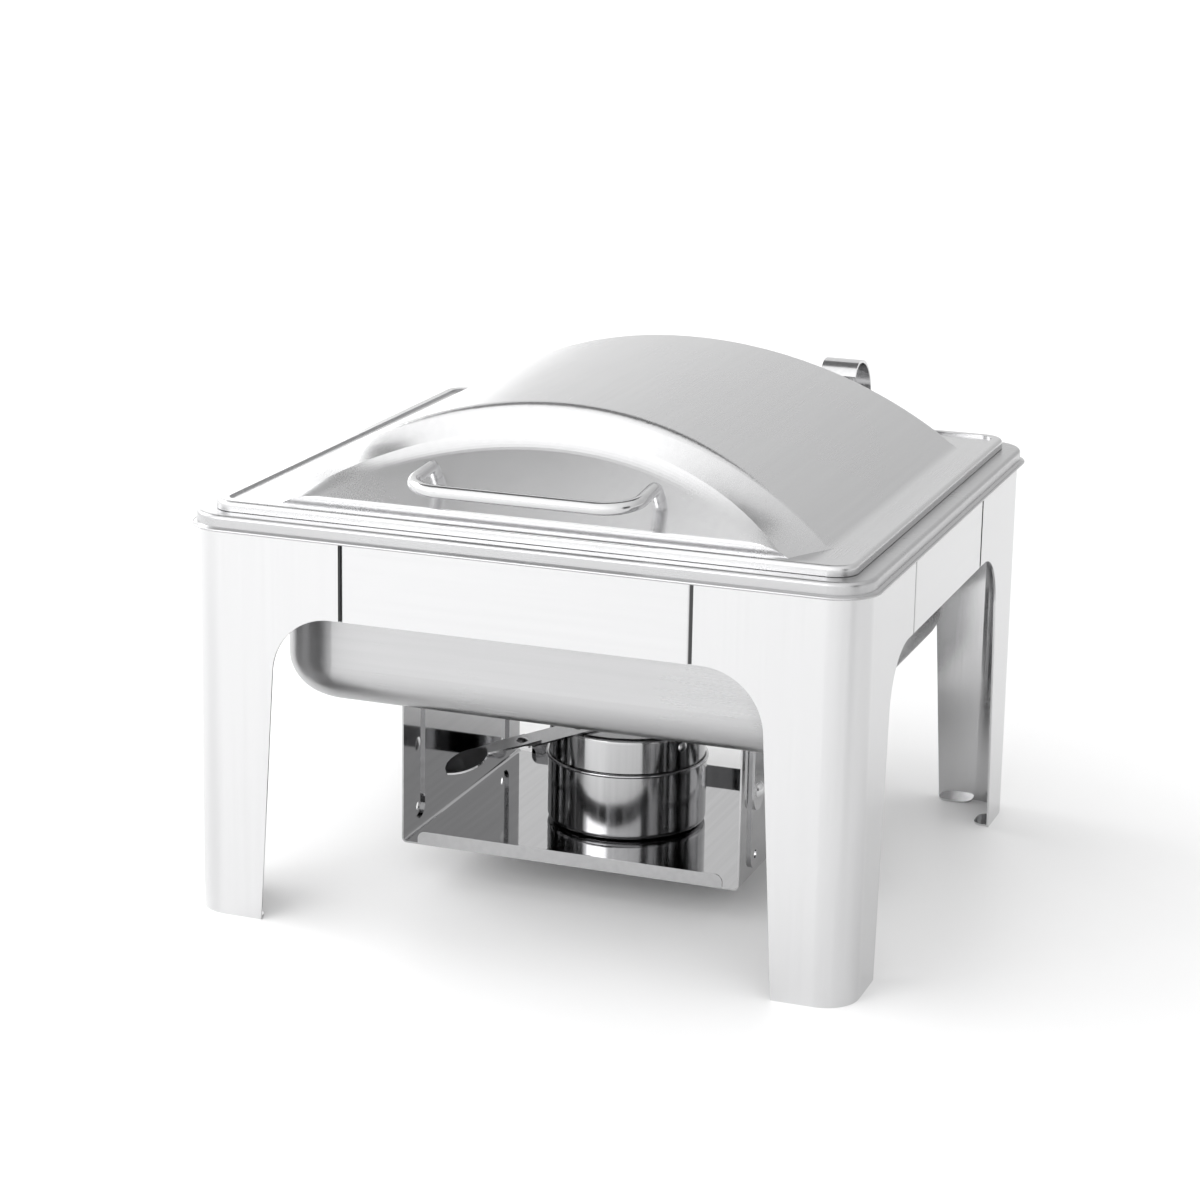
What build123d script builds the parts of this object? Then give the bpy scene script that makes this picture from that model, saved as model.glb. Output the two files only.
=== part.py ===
from build123d import *
from math import acos, asin, cos, degrees, pi, radians, sin, sqrt, tan
import os

# Chafing dish food warmer for one two-thirds gastronorm pan, in millimetres.
# Z is up, -Y is the front, and z = 0 is the table.

# Stand: four corner legs joined by four apron panels.
STAND_W = 409.0
STAND_D = 385.0
STAND_TOP = 245.3
CORNER_R = 21.0
LEG_T = 1.2
APRON_T = 1.0
APRON_LOW = 190.5
APRON_SETBACK = 1.25
JOGGLE_RUN, JOGGLE_GROOVE, JOGGLE_BEND_R = 3.0, 1.0, 0.9
LEG_EDGE_X = 107.5
LEG_EDGE_Y = 82.2
LAP = 14.0
ARCH_FOOT_X, ARCH_HEAD_X = 158.9, 147.9
ARCH_FOOT_Y, ARCH_HEAD_Y = 141.2, 126.9
ARCH_R = 37.0
FOOT_TAB_L, FOOT_TAB_W, FOOT_TAB_R, FOOT_TAB_IN = 22.0, 10.0, 7.0, 12.0

# Water pan: a deep drawn well with a flat rim whose skirt hangs over the stand.
SHEET = 0.8
RIM_EDGE_R = 2.5
RIM_Z = 246.5
SKIRT_OUT = 1.5
SKIRT_LOW = 239.6
LIP_OUT = 2.6
LIP_LOW = 238.0
HEM_R = 0.8
WELL_W, WELL_D, WELL_R = 345.2, 312.8, 44.0
WELL_LOW = 125.2
WELL_FLOOR_R = 26.0

# Food pan: two-thirds gastronorm.
FLANGE_W, FLANGE_D, FLANGE_R = 354.0, 325.0, 30.0
FOOD_W, FOOD_D, FOOD_R = 328.0, 299.0, 28.0
FOOD_DEPTH = 65.0
FOOD_TAPER = 5.0
FOOD_FLOOR_R = 14.0
GAP = 0.3

# Lid: a pressed sheet with a vault that runs front to back.
LID_W, LID_D, LID_R = 389.0, 367.0, 14.0
LID_LOW = RIM_Z + GAP
BEAD_TOP = 252.8
BEAD_W, BEAD_EDGE_R, BEAD_CORNER_R = 6.5, 2.6, 9.5
LID_FLAT = 251.4
VAULT_R = 262.0
VAULT_TOP = 314.5
VAULT_FOOT_R = 8.0
VAULT_EDGE_R = 7.0
CREASE, CREASE_STEPS = 6.0, 6
STEP_R = 3.0
END_Y = 171.0
PANEL_Y, PANEL_Z, PANEL_SLOPE = 171.0, 257.3, 38.0
PANEL_HALF_W, PANEL_RISE = 141.0, 57.1
WALL_Y, WALL_Z, WALL_SLOPE = 133.0, 252.0, 76.0
WALL_HALF_W, WALL_RISE = 176.0, 70.5
END_BELOW, WALL_DROP, WALL_CLIMB = 20.0, 60.0, 90.0

# Lid handle: one bent round bar.
BAR_D = 7.6
HANDLE_X = 4.0
BAR_HALF_SPAN = 68.0
BAR_FIX_Y, BAR_FRONT_Y = 151.0, 199.0
BAR_STAND = 9.0
BAR_FRONT_Z = 275.5
BAR_BEND_R, BAR_KNEE_R = 20.0, 7.5
WASHER_R, WASHER_T = 7.5, 1.0
NUT_R, NUT_T = 6.5, 4.0

# Lid hooks behind the stand.
HOOK_W, HOOK_T = 24.0, 2.0
HOOK_X = 76.0
HOOK_Y, HOOK_Z = 210.5, 258.5
HOOK_R = 30.0
HOOK_LIP_R = 14.0
HOOK_LIP_ANGLE = 68.0
HOOK_FOOT_LOW = 196.0
HOOK_RIVET_Z = (204.0, 218.0)

# Burner tray and its hangers, under the water pan.
TRAY_HALF_W, TRAY_HALF_D = 109.0, 97.0
TRAY_T = 1.0
TRAY_LOW, TRAY_HIGH = 24.5, 117.0
TRAY_FOLD_R = 3.0
TRAY_LIP_H, TRAY_LIP_HALF_W, TRAY_LIP_R = 8.5, 98.5, 5.0
GROOVE_Y, GROOVE_LOW, GROOVE_HIGH = 71.0, 31.0, 112.0
GROOVE_HALF_W, GROOVE_DEPTH = 8.5, 1.6
GROOVE_HOLE_R = 2.6
HANGER_W, HANGER_T = 20.0, 1.5
HANGER_LOW = 68.0
HANGER_FLANGE = 22.0
RIVET_Z = 80.0
RIVET_R, RIVET_HEAD_R, RIVET_INNER_R = 2.5, 5.5, 4.5
RIVET_HEAD_H, RIVET_INNER_H = 3.0, 0.9
STUD_R, STUD_L = 2.5, 9.0
STUD_REACH = 12.0
HEX_R, HEX_T = 4.6, 3.2

# Burner.
BURNER_T = 1.0
BURNER_X, BURNER_Y = 3.0, 1.0
CUP_R, CUP_LOW, CUP_HIGH = 50.0, TRAY_LOW + TRAY_T + GAP, 68.0
CUP_FLOOR_R = 4.0
CUP_BEAD_R = 1.2
COLLAR_R, COLLAR_NECK_R = 49.2, 48.6
COLLAR_LOW, COLLAR_HIGH = 69.6, 91.5
COLLAR_EDGE_R = 3.0
NECK_LOW = 60.0
FLAME_R = 27.0
COLLAR_RIVET_ANGLES = (-27.0, 93.0, 213.0)
COLLAR_RIVET_Z, COLLAR_RIVET_R = 83.5, 3.6

# Damper: a disc over the flame with a lever and a thumb tab.
LEVER_ANGLE = 242.9
LEVER_T = 1.2
LEVER_W = 20.0
COVER_R = 31.0
PIVOT_REACH = 42.0
JOINT_REACH = 89.0
STRIP_END = 98.0
TAB_START, TAB_SHOULDER, TAB_HALF_W = 80.0, 97.0, 8.0
NECK_REACH, NECK_W = 122.0, 11.0
LEAF_W, LEAF_R, LEAF_ROOT, LEAF_DROOP = 22.0, 17.0, 4.0, 18.0
PIN_R = 2.0
PIN_HEAD_R, PIN_HEAD_H, PIN_TAIL_H, TAIL_SHARE = 4.0, 1.6, 1.2, 0.8

# Clearance round a shank, and how far a cutter runs past what it cuts.
FIT = 0.05
OVER = 1.0

NODES = {}


def keep(name, shape):
    """Stores one named piece."""
    NODES[name] = shape


def slab(width, depth, radius, low, high):
    """A flat block with rounded corners between two heights."""
    return Pos(0, 0, low) * extrude(RectangleRounded(width, depth, radius), high - low)


def span(x0, x1, y0, y1, z0, z1):
    """A box given by its limits on each axis."""
    centre = Pos((x0 + x1) / 2, (y0 + y1) / 2, (z0 + z1) / 2)
    return centre * Box(x1 - x0, y1 - y0, z1 - z0)


def rod(radius, start, end):
    """A round bar between two points."""
    a, b = Vector(*start), Vector(*end)
    plane = Plane(origin=a, z_dir=(b - a).normalized())
    return extrude(plane * Circle(radius), (b - a).length)


def edges_at(shape, height, tolerance=0.01):
    """The edges that lie wholly at one height."""
    return [
        e
        for e in shape.edges()
        if abs(e.bounding_box().min.Z - height) < tolerance
        and abs(e.bounding_box().max.Z - height) < tolerance
    ]


def arch(foot, head, reach, along):
    """The opening between two legs, cut right through the stand."""
    outline = Polygon((-foot, -OVER), (-head, APRON_LOW), (head, APRON_LOW), (foot, -OVER), align=None)
    tops = outline.vertices().group_by(Axis.Y)[-1]
    outline = fillet(tops, ARCH_R)
    plane = Plane.XZ if along == "Y" else Plane.YZ
    return extrude(plane * outline, reach, both=True)


def leg(side, face):
    """One corner leg. side is -1 left or 1 right, and face is -1 front or 1 back."""
    tube = slab(STAND_W, STAND_D, CORNER_R, 0, STAND_TOP)
    tube -= slab(STAND_W - 2 * LEG_T, STAND_D - 2 * LEG_T, CORNER_R - LEG_T, -OVER, STAND_TOP + OVER)
    xs = sorted((side * LEG_EDGE_X, side * (STAND_W / 2 + OVER)))
    ys = sorted((face * LEG_EDGE_Y, face * (STAND_D / 2 + OVER)))
    piece = tube & span(*xs, *ys, -OVER, STAND_TOP + OVER)
    piece -= arch(ARCH_FOOT_X, ARCH_HEAD_X, STAND_D, "Y")
    piece -= arch(ARCH_FOOT_Y, ARCH_HEAD_Y, STAND_W, "X")
    tab = Rectangle(FOOT_TAB_L, 2 * FOOT_TAB_W)
    tab = extrude(fillet(tab.vertices(), FOOT_TAB_R), LEG_T)
    on_face = Pos(side * (ARCH_FOOT_X + FOOT_TAB_IN), face * (STAND_D / 2 - LEG_T), 0) * tab
    on_side = Pos(side * (STAND_W / 2 - LEG_T), face * (ARCH_FOOT_Y + FOOT_TAB_IN), 0)
    on_side = on_side * Rot(0, 0, 90) * tab
    inside = slab(STAND_W - LEG_T, STAND_D - LEG_T, CORNER_R - LEG_T / 2, -OVER, LEG_T + OVER)
    return piece + (on_face & inside) + (on_side & inside)


def apron(half_length, distance):
    """A panel along X, facing -Y, whose ends step back behind the legs."""
    flat = half_length - JOGGLE_RUN
    ends = half_length - JOGGLE_GROOVE
    out, back = -distance, -distance + APRON_SETBACK
    tip = half_length + LAP
    outer = [(-tip, back), (-ends, back), (-flat, out), (flat, out), (ends, back), (tip, back)]
    inner = [(x, y + APRON_T) for x, y in reversed(outer)]
    plan = Polygon(*outer, *inner, align=None)
    bends = [v for v in plan.vertices() if abs(v.X) < tip - OVER]
    plan = fillet(bends, JOGGLE_BEND_R)
    return Pos(0, 0, APRON_LOW) * extrude(plan, STAND_TOP - APRON_LOW)


def stand():
    """The legs and aprons."""
    sides = {"left": -1, "right": 1}
    faces = {"front": -1, "back": 1}
    for face_name, face in faces.items():
        for side_name, side in sides.items():
            keep(f"leg_{face_name}_{side_name}", leg(side, face))
    front = apron(LEG_EDGE_X, STAND_D / 2)
    side = apron(LEG_EDGE_Y, STAND_W / 2)
    keep("apron_front", front)
    keep("apron_right", Rot(0, 0, 90) * side)
    keep("apron_left", Rot(0, 0, -90) * side)
    back = Rot(0, 0, 180) * front
    for x in (-HOOK_X, HOOK_X):
        for z in HOOK_RIVET_Z:
            back -= rod(PIN_R + 0.05, (x, STAND_D / 2 - 5, z), (x, STAND_D / 2 + 5, z))
    keep("apron_back", back)


def hook():
    """A strip that curls back, up and forward over the edge of an open lid."""
    half = HOOK_W / 2
    face = STAND_D / 2
    low = HOOK_Z - HOOK_R
    foot = span(-half, half, face, face + HOOK_T, HOOK_FOOT_LOW, low + HOOK_T)
    run = span(-half, half, face, HOOK_Y, low, low + HOOK_T)
    bend = Circle(HOOK_R) - Circle(HOOK_R - HOOK_T)
    bend &= Pos(HOOK_R, 0) * Rectangle(2 * HOOK_R, 2 * HOOK_R)
    bend = Pos(HOOK_Y, HOOK_Z) * bend
    turn = radians(90 + HOOK_LIP_ANGLE)
    far = 3 * HOOK_LIP_R
    wedge = Polygon((0, 0), (0, far), (-far, far), (far * cos(turn), far * sin(turn)), align=None)
    lip = (Circle(HOOK_LIP_R) - Circle(HOOK_LIP_R - HOOK_T)) & wedge
    lip = Pos(HOOK_Y, HOOK_Z + HOOK_R - HOOK_LIP_R) * lip
    curl = extrude(Plane.YZ * (bend + lip), half, both=True)
    strip = foot + run + curl
    for z in HOOK_RIVET_Z:
        strip -= rod(PIN_R + 0.05, (0, face - 1, z), (0, face + 5, z))
    return strip


def dome(radius, height):
    """A low dome that stands on z = 0."""
    ball = (radius**2 + height**2) / (2 * height)
    keep_box = Pos(0, 0, height / 2) * Box(4 * radius, 4 * radius, height)
    return (Pos(0, 0, height - ball) * Sphere(ball)) & keep_box


def rivet(shank, head, grip):
    """A rivet along Z whose grip runs from 0 down to -grip, with a dome at each end."""
    body = Pos(0, 0, -grip) * extrude(Circle(shank), grip)
    tail = Rot(180, 0, 0) * dome(head * TAIL_SHARE, PIN_TAIL_H)
    return body + dome(head, PIN_HEAD_H) + Pos(0, 0, -grip) * tail


def hooks():
    """The two lid hooks and their rivets."""
    strip = hook()
    keep("lid_hook_left", Pos(-HOOK_X, 0, 0) * strip)
    keep("lid_hook_right", Pos(HOOK_X, 0, 0) * strip)
    pin = rivet(PIN_R, PIN_HEAD_R, HOOK_T + APRON_T)
    pins = []
    for x in (-HOOK_X, HOOK_X):
        for z in HOOK_RIVET_Z:
            pins.append(Pos(x, STAND_D / 2 + HOOK_T, z) * Rot(-90, 0, 0) * pin)
    keep("hook_rivets", Compound(children=pins))


def well(inset):
    """The outside of the well, drawn in by inset on every side."""
    body = slab(WELL_W - 2 * inset, WELL_D - 2 * inset, WELL_R - inset, WELL_LOW + inset, RIM_Z)
    return fillet(edges_at(body, WELL_LOW + inset), WELL_FLOOR_R - inset)


def water_pan():
    """The well, the rim, the skirt over the stand and the flared, hemmed lip."""
    skirt_w = STAND_W + 2 * SKIRT_OUT
    skirt_d = STAND_D + 2 * SKIRT_OUT
    skirt_r = CORNER_R + SKIRT_OUT
    block = slab(skirt_w, skirt_d, skirt_r, SKIRT_LOW, RIM_Z)
    block = fillet(edges_at(block, RIM_Z), RIM_EDGE_R)
    thin = 2 * SHEET
    under = slab(skirt_w - thin, skirt_d - thin, skirt_r - SHEET, SKIRT_LOW - OVER, RIM_Z - SHEET)
    under = fillet(edges_at(under, RIM_Z - SHEET), RIM_EDGE_R - SHEET)
    pan = (block - under) + well(0)
    drop = SKIRT_LOW - LIP_LOW
    flare = degrees(asin(LIP_OUT / sqrt(LIP_OUT**2 + drop**2)))
    outer = Pos(0, 0, SKIRT_LOW) * extrude(
        RectangleRounded(skirt_w, skirt_d, skirt_r), -drop, taper=-flare
    )
    inner = Pos(0, 0, SKIRT_LOW) * extrude(
        RectangleRounded(skirt_w - thin, skirt_d - thin, skirt_r - SHEET), -drop, taper=-flare
    )
    pan += outer - inner
    hem_w = skirt_w + 2 * LIP_OUT - SHEET
    hem_d = skirt_d + 2 * LIP_OUT - SHEET
    path = Pos(0, 0, LIP_LOW) * RectangleRounded(hem_w, hem_d, skirt_r + LIP_OUT - SHEET / 2).wire()
    start = Plane(origin=path @ 0, z_dir=path % 0)
    pan += sweep(start * Circle(HEM_R), path)
    pan -= well(SHEET)
    pan -= slab(WELL_W - thin, WELL_D - thin, WELL_R - SHEET, RIM_Z - 2 * SHEET, RIM_Z + OVER)
    return pan


def food_pan():
    """A gastronorm pan hanging by its flange in the mouth of the well."""
    top = RIM_Z + GAP
    solids = []
    for inset in (0.0, SHEET):
        section = RectangleRounded(FOOD_W - 2 * inset, FOOD_D - 2 * inset, FOOD_R - inset)
        depth = FOOD_DEPTH - inset
        body = Pos(0, 0, top + SHEET) * extrude(section, -depth, taper=FOOD_TAPER)
        low = top + SHEET - depth
        solids.append(fillet(edges_at(body, low), FOOD_FLOOR_R - inset))
    flange = slab(FLANGE_W, FLANGE_D, FLANGE_R, top, top + SHEET)
    return (flange + solids[0]) - solids[1]


def vault_profile(inset):
    """The lid's cross-section: an arc that flares into the flat at each foot."""
    radius = VAULT_R - inset
    foot = VAULT_FOOT_R + inset
    centre = VAULT_TOP - VAULT_R
    base = LID_FLAT - inset
    reach = sqrt(radius**2 - (base - centre) ** 2)
    top = Pos(0, base + VAULT_R) * Rectangle(4 * VAULT_R, 2 * VAULT_R)
    outline = (Pos(0, centre) * Circle(radius)) & top
    slope = asin(reach / radius)
    flare_x = reach + foot * tan(slope / 2)
    high_x = flare_x - foot * sin(slope)
    high_z = base + foot * (1 - cos(slope))
    for side in (-1, 1):
        corner = Polygon(
            (side * (reach - 2), base), (side * flare_x, base), (side * high_x, high_z), align=None
        )
        corner -= Pos(side * flare_x, base + foot) * Circle(foot)
        outline += corner
    return outline


def arch_line(inset, origin_y, origin_z, slope, half_width, rise, shrink=0.0):
    """Left end, top and right end of an arch line on a plane that leans back, across the lid."""
    lean = radians(slope)
    origin = Vector(0, -origin_y + inset * sin(lean), origin_z - inset * cos(lean))
    up = Vector(0, cos(lean), sin(lean))
    full = (half_width**2 + rise**2) / (2 * rise)
    centre = origin + up * (rise - full)
    radius = full - inset - shrink
    reach = acos((full - rise - END_BELOW) / radius)
    turns = (-reach, 0, reach)
    return [centre + up * (radius * cos(turn)) + Vector(radius * sin(turn), 0, 0) for turn in turns]


def arch_face(points):
    """The flat face under an arc through three points."""
    left, top, right = points
    return Face(Wire([ThreePointArc(left, top, right), Line(right, left)]))


def vault_end(inset):
    """The space behind the front panel and inside the sloping wall, with a soft crease between them."""
    panel = (inset, PANEL_Y, PANEL_Z, PANEL_SLOPE, PANEL_HALF_W, PANEL_RISE)
    before = arch_line(*panel, shrink=CREASE)
    crease = arch_line(*panel)
    head = arch_line(inset, WALL_Y, WALL_Z, WALL_SLOPE, WALL_HALF_W, WALL_RISE)
    after = [p + (q - p).normalized() * CREASE for p, q in zip(crease, head)]
    faces = []
    for step in range(CREASE_STEPS + 1):
        t = step / CREASE_STEPS
        u = 1 - t
        bend = zip(before, crease, after)
        faces.append(arch_face([p * (u * u) + q * (2 * t * u) + r * (t * t) for p, q, r in bend]))
    faces.append(arch_face(head))
    return loft(faces, ruled=True)


def vault(inset):
    """The raised part of the lid, with a sloping wall and a tilted panel at each end."""
    tube = extrude(Plane.XZ * vault_profile(inset), END_Y - inset, both=True)
    lean = radians(WALL_SLOPE)
    cut_y = WALL_Y - inset * sin(lean)
    low_y, low_z = cut_y + WALL_DROP * cos(lean), WALL_Z - inset * cos(lean) - WALL_DROP * sin(lean)
    high_y, high_z = cut_y - WALL_CLIMB * cos(lean), WALL_Z - inset * cos(lean) + WALL_CLIMB * sin(lean)
    side = Polygon((-low_y, low_z), (-high_y, high_z), (high_y, high_z), (low_y, low_z), align=None)
    middle = extrude(Plane.YZ * side, LID_W, both=True)
    front = vault_end(inset)
    body = tube & (middle + front + mirror(front, Plane.XZ))
    brows = [e for e in body.edges() if (e @ 0.5).Z > VAULT_TOP - 5 and abs((e @ 0.5).Y) > 100]
    body = fillet(brows, VAULT_EDGE_R - inset)
    nose = nose_cutter(inset)
    return body - nose - mirror(nose, Plane.XZ)


def nose_cutter(inset):
    """The sliver of space that rounds the low front edge of the panel."""
    slope = radians(PANEL_SLOPE)
    radius = STEP_R - inset
    edge_y = PANEL_Y - inset
    edge_z = PANEL_Z - inset * (1 / cos(slope) - tan(slope))
    reach = radius * tan((pi / 2 - slope) / 2)
    low = (-edge_y, edge_z - reach)
    high = (-edge_y + reach * cos(slope), edge_z + reach * sin(slope))
    far = (-edge_y - 1, high[1] + 1)
    corner = Polygon(low, (far[0], low[1]), far, (high[0], far[1]), high, align=None)
    corner -= Pos(-edge_y + radius, edge_z - reach) * Circle(radius)
    return extrude(Plane.YZ * corner, LID_W / 2, both=True)


def lid_form(inset):
    """The lid's outside, drawn in by inset, as a solid block."""
    low = LID_LOW if inset == 0 else LID_LOW - OVER
    edge = slab(LID_W - 2 * inset, LID_D - 2 * inset, LID_R - inset, low, BEAD_TOP - inset)
    edge = fillet(edges_at(edge, BEAD_TOP - inset), BEAD_EDGE_R - inset)
    flat_w = LID_W - 2 * BEAD_W + 2 * inset
    flat_d = LID_D - 2 * BEAD_W + 2 * inset
    edge -= slab(flat_w, flat_d, BEAD_CORNER_R + inset, LID_FLAT - inset, BEAD_TOP + OVER)
    return edge + vault(inset)


def lid_shell():
    """The pressed lid."""
    return lid_form(0) - lid_form(SHEET)


def panel_plane(x, y):
    """A frame on the front panel at one place, with Z pointing out of the panel."""
    lean = radians(PANEL_SLOPE)
    z = PANEL_Z + (PANEL_Y + y) * tan(lean)
    return Plane(origin=(x, y, z), x_dir=(1, 0, 0), z_dir=(0, -sin(lean), cos(lean)))


def bent_bar(points, radii, bar_r):
    """A round bar through points, with a smooth bend of its own radius at each inner point."""
    pts = [Vector(*p) for p in points]
    pieces = []
    last = pts[0]
    for i, bend in enumerate(radii):
        corner = pts[i + 1]
        into = (corner - pts[i]).normalized()
        away = (pts[i + 2] - corner).normalized()
        half = into.get_angle(away) / 2
        back = bend * tan(radians(half))
        start, end = corner - into * back, corner + away * back
        mid_dir = (away - into).normalized()
        centre = corner + mid_dir * (bend / cos(radians(half)))
        middle = centre - mid_dir * bend
        pieces.append(Line(last, start))
        pieces.append(ThreePointArc(start, middle, end))
        last = end
    pieces.append(Line(last, pts[-1]))
    path = Wire(pieces)
    start = Plane(origin=pts[0], z_dir=(pts[1] - pts[0]).normalized())
    return sweep(start * Circle(bar_r), path)


def lid():
    """The pressed lid, its bar handle, washers and nuts."""
    lean = radians(PANEL_SLOPE)
    shell = lid_shell()
    base_z = PANEL_Z + (PANEL_Y - BAR_FIX_Y) * tan(lean)
    depth = NUT_T + WASHER_T + SHEET + 1
    inner = (-BAR_FIX_Y + depth * sin(lean), base_z - depth * cos(lean))
    top = (-BAR_FIX_Y - BAR_STAND * sin(lean), base_z + BAR_STAND * cos(lean))
    washers, nuts = [], []
    ends = (HANDLE_X - BAR_HALF_SPAN, HANDLE_X + BAR_HALF_SPAN)
    for x in ends:
        base = panel_plane(x, -BAR_FIX_Y)
        shell -= base * Pos(0, 0, -5) * extrude(Circle(BAR_D / 2 + FIT), 10)
        under = -SHEET - FIT
        washer = extrude(Circle(WASHER_R) - Circle(BAR_D / 2 + FIT), -WASHER_T)
        washers.append(base * Pos(0, 0, under) * washer)
        nut = extrude(RegularPolygon(NUT_R, 6) - Circle(BAR_D / 2 + FIT), -NUT_T)
        nuts.append(base * Pos(0, 0, under - WASHER_T) * nut)
    points = [
        (ends[0], *inner),
        (ends[0], *top),
        (ends[0], -BAR_FRONT_Y, BAR_FRONT_Z),
        (ends[1], -BAR_FRONT_Y, BAR_FRONT_Z),
        (ends[1], *top),
        (ends[1], *inner),
    ]
    keep("lid_shell", shell)
    keep("lid_handle", bent_bar(points, (BAR_KNEE_R, BAR_BEND_R, BAR_BEND_R, BAR_KNEE_R), BAR_D / 2))
    keep("handle_washers", Compound(children=washers))
    keep("handle_nuts", Compound(children=nuts))


def corner_copies(piece):
    """One piece, made at the right front, mirrored to all four corners."""
    back = mirror(piece, Plane.XZ)
    left = mirror(piece, Plane.YZ)
    return {
        "front_right": piece,
        "front_left": left,
        "back_right": back,
        "back_left": mirror(back, Plane.YZ),
    }


def four(piece):
    """Four separate mirrored copies of a small piece as one node."""
    return Compound(children=list(corner_copies(piece).values()))


def hangers():
    """Straps, studs, nuts and rivets that hang the tray from the well."""
    x0 = TRAY_HALF_W + GROOVE_DEPTH
    y0, y1 = -GROOVE_Y - HANGER_W / 2, -GROOVE_Y + HANGER_W / 2
    strap = span(x0, x0 + HANGER_T, y0, y1, HANGER_LOW, WELL_LOW)
    low_corners = [
        e for e in strap.edges() if e.center().Z < HANGER_LOW + 1 and abs(e.center().Y + GROOVE_Y) > 5
    ]
    strap = fillet(low_corners, HANGER_W / 2 - 0.5)
    strap += span(x0, x0 + HANGER_FLANGE, y0, y1, WELL_LOW - HANGER_T, WELL_LOW)
    strap -= rod(RIVET_R + FIT, (x0 - 1, -GROOVE_Y, RIVET_Z), (x0 + 5, -GROOVE_Y, RIVET_Z))
    stud_x = x0 + STUD_REACH
    strap -= rod(STUD_R + FIT, (stud_x, -GROOVE_Y, WELL_LOW - 5), (stud_x, -GROOVE_Y, WELL_LOW + 1))
    for corner, piece in corner_copies(strap).items():
        keep(f"hanger_{corner}", piece)
    stud = rod(STUD_R, (stud_x, -GROOVE_Y, WELL_LOW), (stud_x, -GROOVE_Y, WELL_LOW - STUD_L))
    keep("hanger_studs", four(stud))
    ring = extrude(RegularPolygon(HEX_R, 6) - Circle(STUD_R + FIT), HEX_T)
    keep("hanger_nuts", four(Pos(stud_x, -GROOVE_Y, WELL_LOW - HANGER_T - HEX_T) * ring))
    inner_x, outer_x = x0 - TRAY_T, x0 + HANGER_T
    pin = rod(RIVET_R, (inner_x - 0.5, -GROOVE_Y, RIVET_Z), (outer_x, -GROOVE_Y, RIVET_Z))
    pin += Pos(outer_x, -GROOVE_Y, RIVET_Z) * Rot(0, 90, 0) * dome(RIVET_HEAD_R, RIVET_HEAD_H)
    pin += Pos(inner_x, -GROOVE_Y, RIVET_Z) * Rot(0, -90, 0) * dome(RIVET_INNER_R, RIVET_INNER_H)
    keep("tray_rivets", four(pin))


def stadium(half_width, low, high, x0, x1):
    """A round-ended upright bar of space between two values of X."""
    shape = SlotOverall(high - low, 2 * half_width)
    plane = Plane(origin=(x0, 0, (low + high) / 2), x_dir=(0, 0, 1), z_dir=(1, 0, 0))
    return extrude(plane * shape, x1 - x0)


def tray():
    """A folded sheet with a pressed groove at each corner, and a low lip front and back."""
    w, t = TRAY_HALF_W, TRAY_T
    outer = fillet(
        Polygon(
            (-w, TRAY_HIGH), (-w, TRAY_LOW), (w, TRAY_LOW), (w, TRAY_HIGH), align=None
        ).vertices().group_by(Axis.Y)[0],
        TRAY_FOLD_R,
    )
    inner = fillet(
        Polygon(
            (t - w, TRAY_HIGH + 9), (t - w, TRAY_LOW + t), (w - t, TRAY_LOW + t), (w - t, TRAY_HIGH + 9),
            align=None,
        ).vertices().group_by(Axis.Y)[0],
        TRAY_FOLD_R - t,
    )
    body = extrude(Plane.XZ * (outer - inner), TRAY_HALF_D, both=True)
    lip = Rectangle(2 * TRAY_LIP_HALF_W, TRAY_LIP_H)
    lip = fillet(lip.vertices().group_by(Axis.Y)[-1], TRAY_LIP_R)
    lip = extrude(Plane.XZ * (Pos(0, TRAY_LOW + TRAY_LIP_H / 2) * lip), t)
    body += Pos(0, t - TRAY_HALF_D, 0) * lip
    body += Pos(0, TRAY_HALF_D, 0) * lip
    wide, low, high = GROOVE_HALF_W, GROOVE_LOW, GROOVE_HIGH
    proud = stadium(wide, low, high, w - t, w + GROOVE_DEPTH)
    hollow = stadium(wide - t, low + t, high - t, w - 2 * t, w + GROOVE_DEPTH - t)
    holes = rod(RIVET_R + FIT, (w - 3, 0, RIVET_Z), (w + 5, 0, RIVET_Z))
    holes += rod(GROOVE_HOLE_R, (w - 3, 0, low + wide), (w + 5, 0, low + wide))
    for y in (-GROOVE_Y, GROOVE_Y):
        for turn in (0, 180):
            at = Rot(0, 0, turn) * Pos(0, y, 0)
            body += at * proud
            body -= at * hollow
            body -= at * holes
    keep("tray", body)


def revolved(points, radius_at=None):
    """A turned piece from its half outline in (radius, height)."""
    outline = Polygon(*points, align=None)
    if radius_at:
        for picker, radius in radius_at:
            corners = [v for v in outline.vertices() if picker(v)]
            outline = fillet(corners, radius)
    return revolve(Plane.XZ * outline, Axis.Z)


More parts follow.
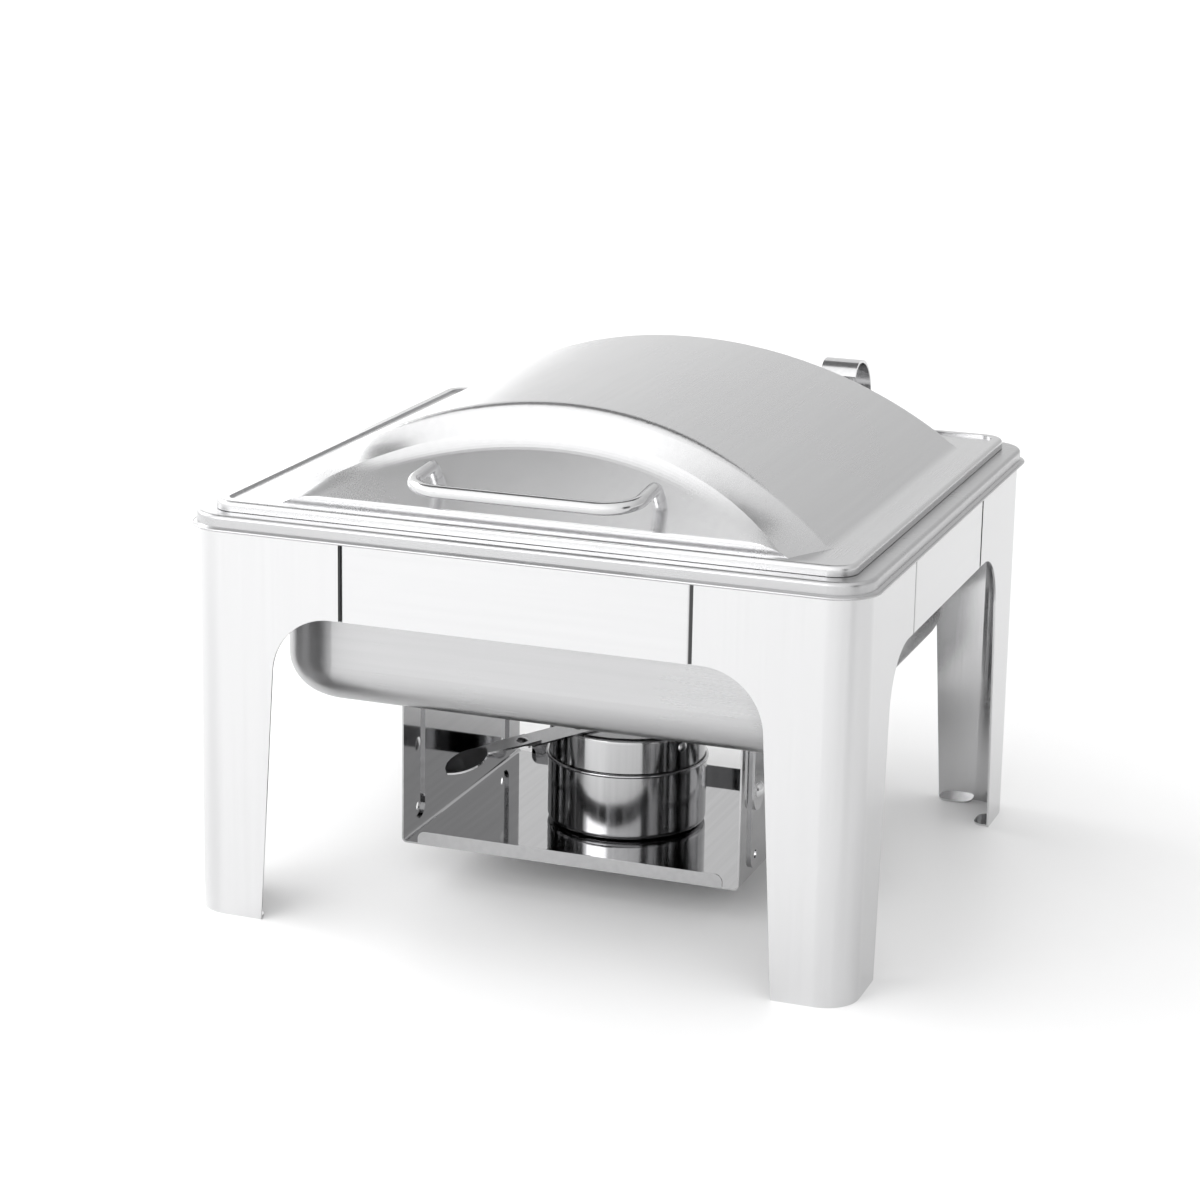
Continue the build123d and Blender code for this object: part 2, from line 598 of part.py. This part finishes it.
def burner():
    """The fuel cup, the collar over it, and the swinging damper."""
    here = Pos(BURNER_X, BURNER_Y, 0)
    t = BURNER_T
    cup = revolved(
        [(0, CUP_LOW), (CUP_R, CUP_LOW), (CUP_R, CUP_HIGH), (CUP_R - t, CUP_HIGH),
         (CUP_R - t, CUP_LOW + t), (0, CUP_LOW + t)],
        [(lambda v: v.X > CUP_R - 0.1 and v.Y < CUP_LOW + 0.1, CUP_FLOOR_R),
         (lambda v: abs(v.X - CUP_R + t) < 0.1 and abs(v.Y - CUP_LOW - t) < 0.1, CUP_FLOOR_R - t)],
    )
    bead = Pos(0, 0, CUP_HIGH) * Torus(CUP_R - t + CUP_BEAD_R, CUP_BEAD_R)
    keep("burner_cup", here * (cup + bead))
    low, high = COLLAR_LOW, COLLAR_HIGH
    collar = revolved(
        [(COLLAR_R, low), (COLLAR_R, high), (FLAME_R, high), (FLAME_R, high - t),
         (COLLAR_R - t, high - t), (COLLAR_R - t, low)],
        [(lambda v: v.X > COLLAR_R - 0.1 and v.Y > high - 0.1, COLLAR_EDGE_R),
         (lambda v: abs(v.X - COLLAR_R + t) < 0.1 and abs(v.Y - high + t) < 0.1, COLLAR_EDGE_R - t)],
    )
    collar += revolved(
        [(COLLAR_NECK_R, NECK_LOW), (COLLAR_NECK_R, low), (COLLAR_R, low), (COLLAR_R, low + t),
         (COLLAR_NECK_R - t, low + t), (COLLAR_NECK_R - t, NECK_LOW)]
    )
    pins = []
    for angle in COLLAR_RIVET_ANGLES:
        spin = Rot(0, 0, angle) * Pos(COLLAR_R, 0, COLLAR_RIVET_Z) * Rot(0, 90, 0)
        collar -= spin * Pos(0, 0, -4) * extrude(Circle(PIN_R + FIT), 8)
        pin = rivet(PIN_R, COLLAR_RIVET_R, t + 4 * FIT)
        pins.append(here * spin * pin)
    along = Rot(0, 0, LEVER_ANGLE)
    hole = Pos(PIVOT_REACH, 0, high - 4) * extrude(Circle(PIN_R + FIT), 8)
    collar -= along * hole
    keep("burner_collar", here * collar)
    keep("burner_rivets", Compound(children=pins))
    base = high + GAP
    tip = STRIP_END - LEVER_W / 2
    strip = Pos(tip / 2, 0) * Rectangle(tip, LEVER_W) + Pos(tip, 0) * Circle(LEVER_W / 2)
    cover = Pos(0, 0, base) * extrude(Circle(COVER_R) + strip, LEVER_T)
    half = TAB_HALF_W
    tab = Polygon(
        (TAB_START, -half), (TAB_SHOULDER, -half), (NECK_REACH, -NECK_W / 2),
        (NECK_REACH, NECK_W / 2), (TAB_SHOULDER, half), (TAB_START, half), align=None,
    )
    petal = (Pos(0, -LEAF_R + LEAF_W / 2) * Circle(LEAF_R)) & (Pos(0, LEAF_R - LEAF_W / 2) * Circle(LEAF_R))
    leaf_long = sqrt(LEAF_R**2 - (LEAF_R - LEAF_W / 2) ** 2)
    leaf = Pos(leaf_long - LEAF_ROOT, 0, -LEVER_T) * extrude(petal, LEVER_T)
    leaf = Pos(NECK_REACH, 0, base + 2 * LEVER_T) * Rot(0, LEAF_DROOP, 0) * leaf
    tab_plate = (Pos(0, 0, base + LEVER_T) * extrude(tab, LEVER_T)) + leaf
    rivet_hole = Pos(JOINT_REACH, 0, base - 3) * extrude(Circle(PIN_R + FIT), 12)
    pivot_hole = Pos(PIVOT_REACH, 0, base - 3) * extrude(Circle(PIN_R + FIT), 12)
    keep("damper_cover", here * along * (cover - rivet_hole - pivot_hole))
    keep("damper_tab", here * along * (tab_plate - rivet_hole))
    joint = Pos(JOINT_REACH, 0, base + 2 * LEVER_T) * rivet(PIN_R, PIN_HEAD_R, 2 * LEVER_T)
    keep("damper_rivet", here * along * joint)
    pin = Pos(PIVOT_REACH, 0, base + LEVER_T + FIT) * rivet(PIN_R, PIN_HEAD_R, LEVER_T + GAP + t + 2 * FIT)
    keep("damper_pivot", here * along * pin)


def spread():
    """How far the assembly reaches along Y, front and back."""
    boxes = [shape.bounding_box() for shape in NODES.values()]
    return min(b.min.Y for b in boxes), max(b.max.Y for b in boxes)


if __name__ == "__main__":
    os.makedirs("parts", exist_ok=True)
    stand()
    hooks()
    keep("water_pan", water_pan())
    keep("food_pan", food_pan())
    lid()
    hangers()
    tray()
    burner()
    front, back = spread()
    to_centre = Pos(0, -(front + back) / 2, 0)
    print(f"moved by {-(front + back) / 2:.3f} along Y")
    for name, shape in NODES.items():
        placed = to_centre * shape
        placed.label = name
        export_step(placed, f"parts/{name}.step")
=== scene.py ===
from math import cos, radians, sin

import bpy
from mathutils import Matrix, Vector

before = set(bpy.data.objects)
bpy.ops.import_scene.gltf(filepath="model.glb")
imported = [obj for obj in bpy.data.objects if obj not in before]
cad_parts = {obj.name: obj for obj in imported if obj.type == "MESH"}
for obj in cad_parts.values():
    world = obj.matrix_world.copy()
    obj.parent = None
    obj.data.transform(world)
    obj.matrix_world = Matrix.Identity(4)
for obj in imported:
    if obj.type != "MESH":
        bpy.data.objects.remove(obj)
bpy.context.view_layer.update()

# Lengths are metres. The frame stands on z = 0, its front faces -Y, and X runs to the right.
IMAGE_SIZE = 1200

# How far the parts were moved along Y to put their middle on the origin.
CAD_SHIFT_Y = -0.01885

# Camera.
CAMERA_PLACE = Vector((0.62374, -1.76469 + CAD_SHIFT_Y, 0.68315))
CAMERA_YAW, CAMERA_PITCH, CAMERA_ROLL = 21.11, -14.34, 0.72
FOCAL_PIXELS = 3117.45
SENSOR_MM = 36.0
SHIFT_X, SHIFT_Y = 0.05, -0.05
VIEW_DEPTH = 50.0

# Studio: the room glows from its dim side to its bright side.
BRIGHT_SIDE = (-0.65, -0.75, 0.1)
ROOM_GLOW = (0.75, 1.75)
ROOM_REACH = 0.8
MIDDLE = (0.0, 0.0, 0.15)
# Each lamp: name, place, size and power.
LAMPS = (
    ("front_softbox", (-1.3, -2.9, 1.5), (1.8, 0.9), 22.0),
    ("left_softbox", (-2.4, 0.3, 1.6), (1.6, 1.6), 24.0),
    ("back_softbox", (-2.0, 2.3, 0.7), (1.4, 0.8), 7.0),
)
# Each card: name, place, size and shade.
CARDS = (
    ("overhead_flag", (-0.45, 0.535, 1.8), (1.9, 1.0), 0.15),
    ("side_flag", (2.0, -1.0, 0.55), (0.75, 1.1), 0.08),
)
CARD_ROUGHNESS = 0.9
FLOOR_HALF, FLOOR_ROUGHNESS, FLOOR_CLOUD = 30.0, 0.45, 3.0
FLOOR_TONE = ((0.90, 0.90, 0.90, 1.0), (0.92, 0.92, 0.92, 1.0))

# Painted shadow in the steps at the aprons' ends: axis, middle of the apron, and where the step starts.
FRONT_SEAM_SHADOW = ("X", 0.0, 0.1048)
SIDE_SEAM_SHADOW = ("Y", CAD_SHIFT_Y, 0.0795)
# How dark the painted shadow in the steps gets, and over how wide a band its edge fades.
SEAM_SHADOW_FACTOR, SEAM_SHADOW_FADE = 0.12, 0.0006

# Steel.
STEEL = (0.60, 0.60, 0.605, 1.0)
STEEL_DARK = (0.565, 0.565, 0.57, 1.0)
LEG_TONE = ((0.585, 0.585, 0.59, 1.0), (0.60, 0.60, 0.605, 1.0))
LID_TONE = ((0.575, 0.575, 0.58, 1.0), (0.59, 0.59, 0.595, 1.0))
# The water pan's steel is darker than the rest: painted shade, standing in for the shaded floor that it
# mirrors.
SHADED_WELL_TONE = ((0.455, 0.455, 0.46, 1.0), (0.475, 0.475, 0.48, 1.0))
TRAY_TONE = ((0.40, 0.40, 0.405, 1.0), (0.43, 0.43, 0.435, 1.0))
CUP_TONE = ((0.42, 0.42, 0.425, 1.0), (0.47, 0.47, 0.475, 1.0))

# Noise: scale and detail of each layer, and how far grain is drawn out along the sheet.
FINE, WIDE, CLOUD, SWELL = (1400.0, 3.0), (260.0, 4.0), (9.0, 5.0), (7.0, 1.0)
EVEN = (1.0, 1.0, 1.0)
GRAIN_SQUEEZE = 0.02
SWELL_STRENGTH = 0.5
GRIT_DEPTH = 0.00002
NOISE_LOW, NOISE_HIGH = 0.3, 0.7
TINT_LOW, TINT_HIGH = 0.35, 0.65


def new_material(name):
    """A material with its nodes cleared, its tree and its surface shader."""
    material = bpy.data.materials.new(name)
    material.use_nodes = True
    tree = material.node_tree
    tree.nodes.clear()
    output = tree.nodes.new("ShaderNodeOutputMaterial")
    shader = tree.nodes.new("ShaderNodeBsdfPrincipled")
    shader.inputs["Metallic"].default_value = 1.0
    tree.links.new(shader.outputs[0], output.inputs[0])
    return material, tree, shader


def grain(tree, stretch, scale, detail=4.0):
    """Noise in object space, stretched by its own factor on each axis."""
    place = tree.nodes.new("ShaderNodeTexCoord")
    mapping = tree.nodes.new("ShaderNodeMapping")
    mapping.inputs["Scale"].default_value = stretch
    noise = tree.nodes.new("ShaderNodeTexNoise")
    noise.inputs["Scale"].default_value = scale
    noise.inputs["Detail"].default_value = detail
    tree.links.new(place.outputs["Object"], mapping.inputs[0])
    tree.links.new(mapping.outputs[0], noise.inputs["Vector"])
    return noise.outputs["Fac"]


def spread(tree, value, low, high, start=NOISE_LOW, end=NOISE_HIGH):
    """A value remapped from start...end to low...high."""
    node = tree.nodes.new("ShaderNodeMapRange")
    node.inputs["From Min"].default_value = start
    node.inputs["From Max"].default_value = end
    node.inputs["To Min"].default_value = low
    node.inputs["To Max"].default_value = high
    tree.links.new(value, node.inputs["Value"])
    return node.outputs[0]


def tint(tree, value, dark, light):
    """A colour between two steels."""
    ramp = tree.nodes.new("ShaderNodeValToRGB")
    ramp.color_ramp.elements[0].position = TINT_LOW
    ramp.color_ramp.elements[1].position = TINT_HIGH
    ramp.color_ramp.elements[0].color = dark
    ramp.color_ramp.elements[1].color = light
    tree.links.new(value, ramp.inputs[0])
    return ramp.outputs[0]


def bump(tree, shader, layers):
    """Stacks bumps of (height, strength, depth)."""
    normal = None
    for height, strength, depth in layers:
        node = tree.nodes.new("ShaderNodeBump")
        node.inputs["Strength"].default_value = strength
        node.inputs["Distance"].default_value = depth
        tree.links.new(height, node.inputs["Height"])
        if normal:
            tree.links.new(normal, node.inputs["Normal"])
        normal = node.outputs[0]
    tree.links.new(normal, shader.inputs["Normal"])


def paint_seam_shadow(tree, colour, axis, centre, start):
    """Paints shadow into a colour: darkens it in the two steps that lie start metres from centre along X or
    Y.
    """
    place = tree.nodes.new("ShaderNodeTexCoord")
    split = tree.nodes.new("ShaderNodeSeparateXYZ")
    tree.links.new(place.outputs["Object"], split.inputs[0])
    offset = tree.nodes.new("ShaderNodeMath")
    offset.operation = "SUBTRACT"
    offset.inputs[1].default_value = centre
    tree.links.new(split.outputs[axis], offset.inputs[0])
    distance = tree.nodes.new("ShaderNodeMath")
    distance.operation = "ABSOLUTE"
    tree.links.new(offset.outputs[0], distance.inputs[0])
    shade = spread(tree, distance.outputs[0], 1.0, SEAM_SHADOW_FACTOR, start, start + SEAM_SHADOW_FADE)
    shadowed = tree.nodes.new("ShaderNodeVectorMath")
    shadowed.operation = "SCALE"
    tree.links.new(colour, shadowed.inputs[0])
    tree.links.new(shade, shadowed.inputs["Scale"])
    return shadowed.outputs[0]


def steel(
    name, along, roughness, tone=(STEEL_DARK, STEEL), streak=0.1, wave=0.0004, grit=0.1, seam_shadow=None
):
    """Stainless steel: grain and fine scratches along one axis, cloudy gloss and a slow swell, and, if
    asked, painted shadow in the steps at an apron's ends.
    """
    material, tree, shader = new_material(name)
    stretch = list(EVEN)
    stretch["XYZ".index(along)] = GRAIN_SQUEEZE
    fine = grain(tree, stretch, *FINE)
    wide = grain(tree, stretch, *WIDE)
    cloud = grain(tree, EVEN, *CLOUD)
    low, high = roughness
    colour = tint(tree, wide, *tone)
    # Painted shadow in the steps beside the legs, darkening the colour there.
    if seam_shadow:
        colour = paint_seam_shadow(tree, colour, *seam_shadow)
    tree.links.new(colour, shader.inputs["Base Color"])
    mix = tree.nodes.new("ShaderNodeMath")
    mix.operation = "ADD"
    tree.links.new(spread(tree, cloud, low, high), mix.inputs[0])
    tree.links.new(spread(tree, fine, -streak / 2, streak / 2), mix.inputs[1])
    mix.use_clamp = True
    tree.links.new(mix.outputs[0], shader.inputs["Roughness"])
    swell = grain(tree, EVEN, *SWELL)
    bump(tree, shader, [(swell, SWELL_STRENGTH, wave), (fine, grit, GRIT_DEPTH)])
    return material


def assign(material, *names):
    """Gives one material to CAD nodes."""
    for name in names:
        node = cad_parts[name]
        node.data.materials.clear()
        node.data.materials.append(material)


def materials():
    """Materials for every CAD node."""
    leg = steel("leg_steel", "Z", (0.13, 0.18), LEG_TONE, streak=0.04, grit=0.04)
    # The aprons carry painted shadow in the steps beside the legs.
    apron = steel("apron_steel", "X", (0.10, 0.15), LEG_TONE, streak=0.04, grit=0.04, seam_shadow=FRONT_SEAM_SHADOW)
    side = steel("side_apron_steel", "Y", (0.10, 0.15), LEG_TONE, streak=0.04, grit=0.04, seam_shadow=SIDE_SEAM_SHADOW)
    for end in ("front", "back"):
        for hand in ("left", "right"):
            assign(leg, f"leg_{end}_{hand}")
            assign(steel(f"hanger_steel_{end}_{hand}", "Z", (0.10, 0.18)), f"hanger_{end}_{hand}")
    assign(apron, "apron_front", "apron_back")
    assign(side, "apron_left", "apron_right")
    assign(steel("hook_steel", "Y", (0.14, 0.22)), "lid_hook_left", "lid_hook_right")
    # The water pan gets the darker steel, which paints shade into it.
    assign(steel("shaded_well_steel", "X", (0.26, 0.32), SHADED_WELL_TONE, streak=0.04, grit=0.03), "water_pan")
    assign(steel("food_steel", "X", (0.26, 0.34)), "food_pan")
    assign(steel("lid_steel", "Y", (0.24, 0.29), LID_TONE, streak=0.02, wave=0.0002, grit=0.02), "lid_shell")
    assign(steel("bar_steel", "X", (0.12, 0.20), streak=0.1), "lid_handle")
    assign(steel("tray_steel", "Y", (0.03, 0.07), TRAY_TONE, streak=0.03), "tray")
    assign(steel("cup_steel", "Z", (0.11, 0.16), CUP_TONE, streak=0.03), "burner_cup")
    assign(steel("collar_steel", "Z", (0.10, 0.15), CUP_TONE, streak=0.04), "burner_collar")
    assign(steel("damper_steel", "Y", (0.08, 0.14), streak=0.06), "damper_cover")
    assign(steel("tab_steel", "Y", (0.10, 0.16), streak=0.06), "damper_tab")
    fixings = steel("fixing_steel", "Z", (0.14, 0.26), streak=0.1)
    assign(fixings, "hook_rivets", "burner_rivets", "damper_rivet", "damper_pivot", "handle_washers")
    assign(fixings, "handle_nuts", "hanger_studs", "hanger_nuts", "tray_rivets")


def floor():
    """A wide pale floor."""
    size = FLOOR_HALF
    mesh = bpy.data.meshes.new("floor")
    corners = [(-size, -size, 0), (size, -size, 0), (size, size, 0), (-size, size, 0)]
    mesh.from_pydata(corners, [], [(0, 1, 2, 3)])
    plane = bpy.data.objects.new("floor", mesh)
    bpy.context.collection.objects.link(plane)
    material, tree, shader = new_material("floor_paint")
    shader.inputs["Metallic"].default_value = 0.0
    shader.inputs["Roughness"].default_value = FLOOR_ROUGHNESS
    colour = tint(tree, grain(tree, EVEN, FLOOR_CLOUD), *FLOOR_TONE)
    tree.links.new(colour, shader.inputs["Base Color"])
    mesh.materials.append(material)


def card(name, place, size, shade):
    """A flat card that faces the dish. The camera doesn't see it, but reflections do."""
    place, target = Vector(place), Vector(MIDDLE)
    mesh = bpy.data.meshes.new(name)
    w, h = size[0] / 2, size[1] / 2
    mesh.from_pydata([(-w, -h, 0), (w, -h, 0), (w, h, 0), (-w, h, 0)], [], [(0, 1, 2, 3)])
    plane = bpy.data.objects.new(name, mesh)
    plane.location = place
    plane.rotation_euler = (target - place).to_track_quat("Z", "Y").to_euler()
    bpy.context.collection.objects.link(plane)
    material, tree, shader = new_material(name + "_cloth")
    shader.inputs["Metallic"].default_value = 0.0
    shader.inputs["Roughness"].default_value = CARD_ROUGHNESS
    shader.inputs["Base Color"].default_value = (shade, shade, shade, 1.0)
    mesh.materials.append(material)
    plane.visible_camera = False


def light(name, place, size, power):
    """A soft rectangular lamp that faces the dish."""
    lamp = bpy.data.lights.new(name, "AREA")
    lamp.shape = "RECTANGLE"
    lamp.size, lamp.size_y = size
    lamp.energy = power
    holder = bpy.data.objects.new(name, lamp)
    holder.location = place
    holder.rotation_euler = (Vector(MIDDLE) - Vector(place)).to_track_quat("-Z", "Y").to_euler()
    bpy.context.collection.objects.link(holder)


def studio():
    """Pale floor, bright surroundings and soft lamps."""
    floor()
    world = bpy.data.worlds.new("studio")
    bpy.context.scene.world = world
    world.use_nodes = True
    tree = world.node_tree
    back = tree.nodes["Background"]
    back.inputs["Color"].default_value = (1.0, 1.0, 1.0, 1.0)
    place = tree.nodes.new("ShaderNodeTexCoord")
    facing = tree.nodes.new("ShaderNodeVectorMath")
    facing.operation = "DOT_PRODUCT"
    facing.inputs[1].default_value = BRIGHT_SIDE
    tree.links.new(place.outputs["Generated"], facing.inputs[0])
    glow = spread(tree, facing.outputs["Value"], *ROOM_GLOW, start=-ROOM_REACH, end=ROOM_REACH)
    tree.links.new(glow, back.inputs["Strength"])
    for lamp in LAMPS:
        light(*lamp)
    for flag in CARDS:
        card(*flag)
    bpy.context.scene.view_settings.view_transform = "Standard"


def camera():
    """The camera stands before the dish, to its right and above the lid, and looks a little down."""
    yaw, pitch, roll = (radians(a) for a in (CAMERA_YAW, CAMERA_PITCH, CAMERA_ROLL))
    ahead = Vector((-sin(yaw) * cos(pitch), cos(yaw) * cos(pitch), sin(pitch)))
    right = Vector((cos(yaw), sin(yaw), 0.0))
    up = right.cross(ahead)
    right_rolled = cos(roll) * right + sin(roll) * up
    up_rolled = cos(roll) * up - sin(roll) * right
    turn = Matrix((right_rolled, up_rolled, -ahead)).transposed()
    data = bpy.data.cameras.new("camera")
    data.sensor_width = SENSOR_MM
    data.lens = FOCAL_PIXELS / IMAGE_SIZE * SENSOR_MM
    data.shift_x, data.shift_y = SHIFT_X, SHIFT_Y
    data.clip_end = VIEW_DEPTH
    eye = bpy.data.objects.new("camera", data)
    eye.matrix_world = Matrix.Translation(CAMERA_PLACE) @ turn.to_4x4()
    bpy.context.collection.objects.link(eye)
    bpy.context.scene.camera = eye


camera()
studio()
materials()
